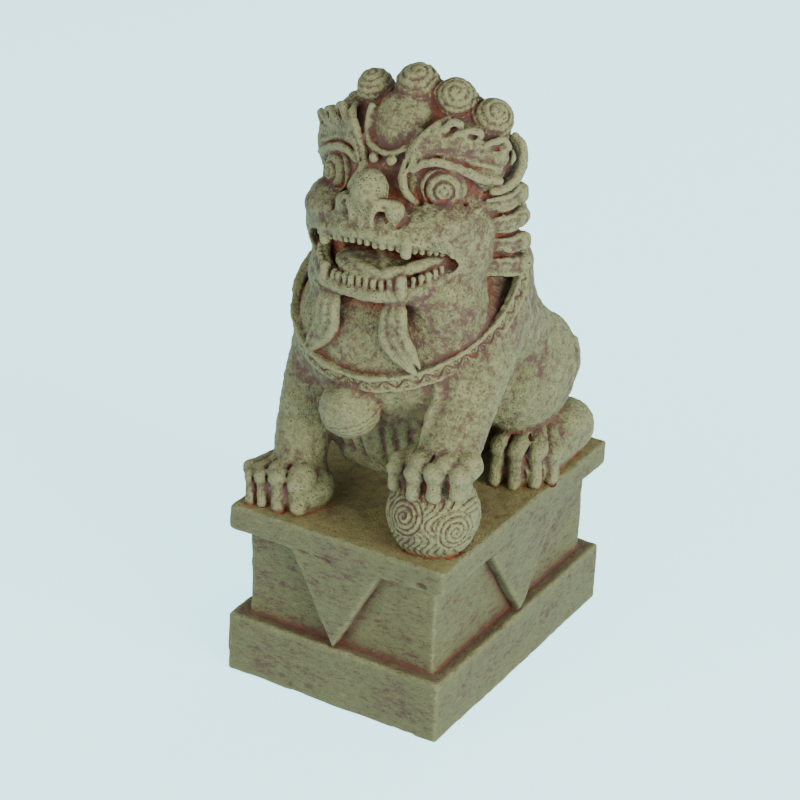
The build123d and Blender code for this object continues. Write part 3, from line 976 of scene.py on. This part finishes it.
def sculpt_curls():
    lump("crown_curls", face(7, 22, 20), (29, 14, 9.5), 3)
    for place, radius, hand, pole in CROWN:
        shell("crown_curls", face(*place), radius, pole, hand)
    for row, (rise, half_width, count) in enumerate(NAPE_ROWS):
        for i in range(count):
            share = 2 * i / (count - 1) - 1
            centre = face(half_width * share, 56 - 9 * share**2, rise)
            shell("nape_curls", centre, NAPE_RADIUS, (share * 1.1, 1, 0.15), 1 if (i + row) % 2 else -1)


def sculpt_figure():
    sculpt_deck()
    sculpt_trunk()
    sculpt_haunches()
    sculpt_hind_paws()
    sculpt_tail()
    sculpt_forelegs()
    sculpt_ball()
    sculpt_forepaws()
    sculpt_skull()
    sculpt_curls()
    sculpt_mane_locks()
    sculpt_boss()
    sculpt_mouth()
    sculpt_nose()
    for side, sign in SIDES.items():
        sculpt_eye(f"{side}_eye", sign)
    sculpt_brows()
    sculpt_ears()
    sculpt_collar()
    sculpt_bell()
    sculpt_beard()
    clay.roughen(((0.30, 1.8), (0.42, 6)), SEED)


# ---------------------------------------------------------------- meshes
HOLLOW_SIZES = (0.6, 1.8, 5.0, 11.0)  # mm over which hollows and ridges are judged, for the paint's wear and for where shade is painted
KEPT_FACES = 0.5  # the share of faces left after thinning out


def wear_and_shading_fields(source):
    """How much clay surrounds a place, for each size: a half on a flat, more in a hollow, less on ridges;
    the paint places both its wear and painted shade by these.
    """
    filled = np.clip(0.5 - source.field / source.step, 0, 1)
    return [blurred(filled, size / source.step) for size in HOLLOW_SIZES]


def thin_out(piece):
    """Fewer faces where the surface is flat."""
    piece.modifiers.new("thin", "DECIMATE").ratio = KEPT_FACES
    depsgraph = bpy.context.evaluated_depsgraph_get()
    thin = bpy.data.meshes.new_from_object(piece.evaluated_get(depsgraph))
    piece.modifiers.clear()
    piece.data = thin
    thin.name = piece.name


def mesh_piece(name, points, quads):
    points = points.astype(np.float32)
    mesh = bpy.data.meshes.new(name)
    mesh.vertices.add(len(points))
    mesh.vertices.foreach_set("co", (points * MM).ravel())
    mesh.loops.add(quads.size)
    mesh.loops.foreach_set("vertex_index", quads.ravel().astype(np.int32))
    mesh.polygons.add(len(quads))
    mesh.polygons.foreach_set("loop_start", np.arange(0, quads.size, 4, dtype=np.int32))
    mesh.update(calc_edges=True)
    mesh.validate()
    piece = bpy.data.objects.new(name, mesh)
    bpy.context.collection.objects.link(piece)
    thin_out(piece)
    return piece


def shade_piece(piece, source, wear_and_shading):
    """Smooth normals from the clay's slope, and at each vertex the measures of hollows and ridges by which
    the paint places wear, painted shade and painted highlight.
    """
    mesh = piece.data
    points = np.empty(len(mesh.vertices) * 3, np.float32)
    mesh.vertices.foreach_get("co", points)
    points = points.reshape(-1, 3) / MM
    field = source.field
    steps = np.eye(3) * source.step * 0.7
    slope = [source.sampled(field, points + s) - source.sampled(field, points - s) for s in steps]
    normals = np.array(slope).T
    normals = normals / np.maximum(np.linalg.norm(normals, axis=1), 1e-6)[:, None]
    colours = np.array([source.sampled(values, points + 0.2 * normals) for values in wear_and_shading]).T
    mesh.polygons.foreach_set("use_smooth", np.ones(len(mesh.polygons), bool))
    mesh.normals_split_custom_set_from_vertices(normals.tolist())
    layer = mesh.attributes.new("wear_and_shading", "FLOAT_COLOR", "POINT")
    layer.data.foreach_set("color", colours.ravel())


def cast_pieces(source, stone):
    """Every named form but the deck as a finished piece in place of its CAD node."""
    source.owners()
    wear_and_shading = wear_and_shading_fields(source)
    for name in source.pieces:
        if name == "deck":
            continue
        start, whole = source.solid(name)
        points, quads = surface_net(whole, source.low + start * source.step, source.step)
        points[:, 2] = np.maximum(points[:, 2], GROUND)
        piece = mesh_piece(name, points, quads)
        shade_piece(piece, source, wear_and_shading)
        piece.data.materials.append(stone)
        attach(piece, "root")
        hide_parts(name)


# ---------------------------------------------------------------- paint
PALE = (0.220, 0.232, 0.100, 1)  # dry-brushed green-yellow
CREAM = (0.32, 0.315, 0.155, 1)  # painted highlight on the sharpest ridges and edges, also the last touches of the dry brush
MAUVE = (0.134, 0.068, 0.052, 1)  # the body colour
RUST = (0.270, 0.070, 0.030, 1)  # rubbed into the hollows
OLIVE = (0.185, 0.140, 0.048, 1)  # painted shade: olive where the body and the deck lie deep in shade
SILT_AND_SHADE = (0.160, 0.086, 0.054, 1)  # the wash on the plinth's ledges, and painted shade where the plinth lies deep in shade
# painted shade: the olive of the deck's top, partly a settled wash
DECK_WASH_AND_SHADE = (0.400, 0.315, 0.115, 1)
PINHOLE = (0.045, 0.03, 0.018, 1)


class Nodes:
    """A short way to write a node material."""

    def __init__(self, name):
        self.material = bpy.data.materials.new(name)
        self.material.use_nodes = True
        self.tree = self.material.node_tree
        self.shader = self.tree.nodes["Principled BSDF"]

    def new(self, kind, **inputs):
        node = self.tree.nodes.new(kind)
        for key, value in inputs.items():
            self.put(node.inputs[key.replace("_", " ")], value)
        return node

    def put(self, socket, value):
        if isinstance(value, bpy.types.NodeSocket):
            self.tree.links.new(value, socket)
        else:
            socket.default_value = value

    def math(self, operation, *values):
        node = self.new("ShaderNodeMath")
        node.operation = operation
        for socket, value in zip(node.inputs, values):
            self.put(socket, value)
        return node.outputs[0]

    def ramp(self, value, low, high, start=0.0, end=1.0):
        node = self.new("ShaderNodeMapRange", Value=value, From_Min=low, From_Max=high)
        node.inputs["To Min"].default_value, node.inputs["To Max"].default_value = start, end
        node.interpolation_type = "SMOOTHSTEP"
        return node.outputs["Result"]

    def mix(self, share, a, b):
        node = self.tree.nodes.new("ShaderNodeMix")
        node.data_type = "RGBA"
        self.put(node.inputs["Factor"], share)
        self.put(node.inputs["A"], a)
        self.put(node.inputs["B"], b)
        return node.outputs["Result"]

    def noise(self, scale, detail, roughness):
        node = self.new("ShaderNodeTexNoise", Vector=self.place, Scale=scale, Detail=detail)
        node.inputs["Roughness"].default_value = roughness
        return node.outputs["Fac"]

    def weighed(self, *terms):
        """The sum of each value's distance from a half, times its weight."""
        parts = [self.math("MULTIPLY_ADD", value, weight, -weight / 2) for value, weight in terms]
        total = parts[0]
        for part in parts[1:]:
            total = self.math("ADD", total, part)
        return total

    def cells(self, scale):
        return self.new("ShaderNodeTexVoronoi", Vector=self.place, Scale=scale).outputs["Distance"]


def cast_stone(name, pale_share, rust_share, edge, pooled=False):
    """Mauve casting, dry-brushed pale green on what stands out and rubbed rust red in what doesn't, with
    painted shade where it lies deep in shade and painted highlight on the sharpest edges.

    With pooled the wash has also settled on the faces that look up, and on the deck that olive is partly
    painted shade.
    """
    n = Nodes(name)
    n.place = n.new("ShaderNodeTexCoord").outputs["Object"]
    wear_and_shading = n.tree.nodes.new("ShaderNodeAttribute")
    wear_and_shading.attribute_name = "wear_and_shading"
    fine, broad, deep = n.new("ShaderNodeSeparateColor", Color=wear_and_shading.outputs["Color"]).outputs
    shade = wear_and_shading.outputs["Alpha"]
    rise = n.new("ShaderNodeSeparateXYZ", Vector=n.place).outputs["Z"]
    if pooled:
        n.place = n.new("ShaderNodeMapping", Vector=n.place, Scale=(1, 1, 2.4)).outputs["Vector"]

    blotch = n.noise(45, 5, 0.65)
    mottle = n.noise(240, 4, 0.7)
    speck = n.noise(1000, 3, 0.7)

    # the brush: catches ridges, misses hollows, broken by blotches and the grain
    brush = n.weighed((fine, -3.4), (broad, -3.0 * edge), (deep, -1.4 * edge), (blotch, 3.2), (mottle, 4.6))
    brush = n.math("ADD", brush, n.weighed((speck, 3.2)))
    brush = n.math("ADD", brush, n.ramp(rise, 0.12, 0.21, 0.3, 0.0))  # paler lower down, less so towards the head
    colour = n.mix(n.ramp(brush, -0.4 - pale_share, 1.1 - pale_share), MAUVE, PALE)
    # painted highlight: the palest touches, on the sharpest ridges and edges
    highlight_touch = n.weighed((fine, -3.8), (broad, -2.6 * edge), (blotch, 1.5), (mottle, 2.0), (speck, 2.6))
    colour = n.mix(n.ramp(highlight_touch, 0.5, 1.3), colour, CREAM)

    # the wash settled on the faces that look up: silt on the ledges, and on the deck an olive that is partly
    # painted shade
    if pooled:
        normal = n.new("ShaderNodeSeparateXYZ", Vector=n.new("ShaderNodeNewGeometry").outputs["Normal"])
        upward = n.math("MULTIPLY", n.ramp(normal.outputs["Z"], 0.5, 0.85), n.ramp(fine, 0.34, 0.46))
        on_deck = n.ramp(rise, (DECK - 3) * MM, (DECK - 1) * MM)
        wash_and_shade = n.mix(on_deck, SILT_AND_SHADE, DECK_WASH_AND_SHADE)
        wet = n.ramp(n.weighed((blotch, 1.6), (mottle, 2.0)), -0.5, 0.5, 0.45, 1.0)
        colour = n.mix(n.math("MULTIPLY", upward, wet), colour, wash_and_shade)

    # painted shade where the clay lies deep in shade: olive on the body and the deck, silt elsewhere on the
    # plinth; about the head the deep hollows take rust instead
    if pooled:
        dusk = n.mix(on_deck, SILT_AND_SHADE, OLIVE)
    else:
        dusk = n.mix(n.ramp(rise, (DECK + 78) * MM, (DECK + 92) * MM), OLIVE, RUST)
    depth = n.weighed((shade, 1.6), (deep, 1.8), (mottle, 0.8))
    colour = n.mix(n.ramp(depth, 0.12, 0.7, 0.0, 0.65), colour, dusk)
    # rust in the crevices
    crevice = n.weighed((fine, 6.0), (broad, 3.2), (deep, 0.8), (mottle, 2.0))
    colour = n.mix(n.ramp(crevice, 0.3, 1.3, 0.0, rust_share), colour, RUST)

    # pinholes, in patches
    holes = n.math("ADD", n.cells(700), n.math("MULTIPLY", mottle, 0.45))
    holes = n.math("SUBTRACT", 1.0, n.ramp(holes, 0.36, 0.56))
    holes = n.math("MULTIPLY", holes, n.ramp(n.weighed((blotch, 1.0), (mottle, 1.5)), -0.05, 0.2))
    colour = n.mix(n.math("MULTIPLY", holes, 0.65), colour, PINHOLE)
    n.put(n.shader.inputs["Base Color"], colour)

    n.put(n.shader.inputs["Roughness"], n.ramp(speck, 0.3, 0.7, 0.6, 0.85))
    n.shader.inputs["Specular IOR Level"].default_value = 0.3

    relief = n.weighed((mottle, 0.9), (speck, 1.1), (holes, -0.9))
    bump = n.new("ShaderNodeBump", Height=relief, Strength=1.0, Distance=0.0011)
    n.put(n.shader.inputs["Normal"], bump.outputs["Normal"])
    return n.material


# ---------------------------------------------------------------- making
def make_figure():
    sculpt_figure()
    cast_pieces(clay, cast_stone("figure_stone", -0.12, 1.0, 1.0))


def pendant(a, b, foot, top):
    """A triangle that hangs on a face of the plinth, in the node box from a to b."""
    middle, half = (a + b) / 2, (b - a) / 2
    long, thin = (0, 1) if half[0] > half[1] else (1, 0)
    slope = half[long] / (top - foot)

    def distance(x, y, z):
        across, through = (x, y)[long] - middle[long], (x, y)[thin] - middle[thin]
        side = (np.abs(across) - slope * (z - foot)) / math.hypot(1, slope)
        ends = np.maximum(z - top, foot - z)
        return smooth_max(smooth_max(side, np.abs(through) - half[thin], 1.6), ends, 0.5)

    return a, b, distance


def make_plinth():
    """Slabs and pendants with slightly uneven faces and soft, chipped edges."""
    low, high = node_box("plinth_foot")[0], node_box("plinth_cap")[1]
    plinth = Clay(low - 3, high + 3, PLINTH_STEP)
    for name, radius in (("plinth_foot", 1.3), ("plinth_die", 0.8), ("plinth_cap", 1.5)):
        a, b = node_box(name)
        plinth.add(name, block((a + b) / 2, (b - a) / 2, radius), 0.3)
    foot, top = (corner[2] for corner in node_box("plinth_die"))
    for side in ("front", "back", "left", "right"):
        name = f"pendant_{side}"
        plinth.add(name, pendant(*node_box(name), foot, top), 0.4)
    corner = np.array([high[0], low[1], top])
    plinth.carve(egg(corner + (-10, 0.2, 2.6), (2.6, 1.6, 1.2)), 0.5)  # a bubble in the casting
    plinth.roughen(((0.22, 3.5), (0.25, 14.0)), SEED + 2)
    cast_pieces(plinth, cast_stone("plinth_stone", 0.16, 0.35, 0.35, pooled=True))


FLOOR_HALF = 6.0
CAMERA_ANGLES = (29.92, 25.92, 2.43)  # azimuth, elevation and roll in degrees
CAMERA_DISTANCE = 0.979
AIM = Vector((-0.0066, -0.0128, -0.0161))  # from the object's middle
LENS = 108.6


def make_stage():
    """A pale floor, soft light and the camera."""
    scene = bpy.context.scene
    floor_mesh = bpy.data.meshes.new("floor")
    corners = [(x * FLOOR_HALF, y * FLOOR_HALF, 0) for x, y in ((-1, -1), (1, -1), (1, 1), (-1, 1))]
    floor_mesh.from_pydata(corners, [], [(0, 1, 2, 3)])
    floor = bpy.data.objects.new("floor", floor_mesh)
    scene.collection.objects.link(floor)
    paper = Nodes("paper")
    paper.shader.inputs["Base Color"].default_value = (0.78, 0.86, 0.885, 1)
    paper.shader.inputs["Roughness"].default_value = 0.85
    paper.shader.inputs["Emission Color"].default_value = (0.42, 0.88, 0.96, 1)
    paper.shader.inputs["Emission Strength"].default_value = 2.4
    floor_mesh.materials.append(paper.material)
    floor.visible_diffuse = False

    world = bpy.data.worlds.new("studio")
    world.use_nodes = True
    back = world.node_tree.nodes["Background"]
    back.inputs["Color"].default_value = (0.86, 0.93, 0.96, 1)
    back.inputs["Strength"].default_value = 0.38
    scene.world = world

    low, high = cad_box
    middle = (low + high) / 2
    for name, place, size, power in (
        ("key", (1.6, -0.45, 0.36), 1.1, 46.0),
        ("fill", (-0.4, -1.5, 0.42), 1.4, 21.0),
        ("rim", (0.2, 1.1, 0.9), 0.9, 4.0),
    ):
        lamp = bpy.data.lights.new(name, "AREA")
        lamp.size = size
        lamp.energy = power
        light = bpy.data.objects.new(name, lamp)
        light.location = Vector(place)
        light.rotation_mode = "QUATERNION"
        light.rotation_quaternion = (middle - light.location).to_track_quat("-Z", "Y")
        scene.collection.objects.link(light)

    camera = bpy.data.objects.new("camera", bpy.data.cameras.new("camera"))
    azimuth, elevation, roll = (math.radians(a) for a in CAMERA_ANGLES)
    right = Vector((math.cos(azimuth), math.sin(azimuth), 0))
    outward = Vector((math.sin(azimuth), -math.cos(azimuth), 0))
    back = outward * math.cos(elevation) + Vector((0, 0, math.sin(elevation)))
    up = back.cross(right)
    tilted_right = math.cos(roll) * right + math.sin(roll) * up
    tilted_up = math.cos(roll) * up - math.sin(roll) * right
    camera.rotation_mode = "QUATERNION"
    camera.rotation_quaternion = Matrix((tilted_right, tilted_up, back)).transposed().to_quaternion()
    camera.location = middle + AIM + back * CAMERA_DISTANCE
    camera.data.lens = LENS
    camera.data.clip_start, camera.data.clip_end = 0.05, 20
    scene.collection.objects.link(camera)
    scene.camera = camera


make_stage()
make_figure()
make_plinth()
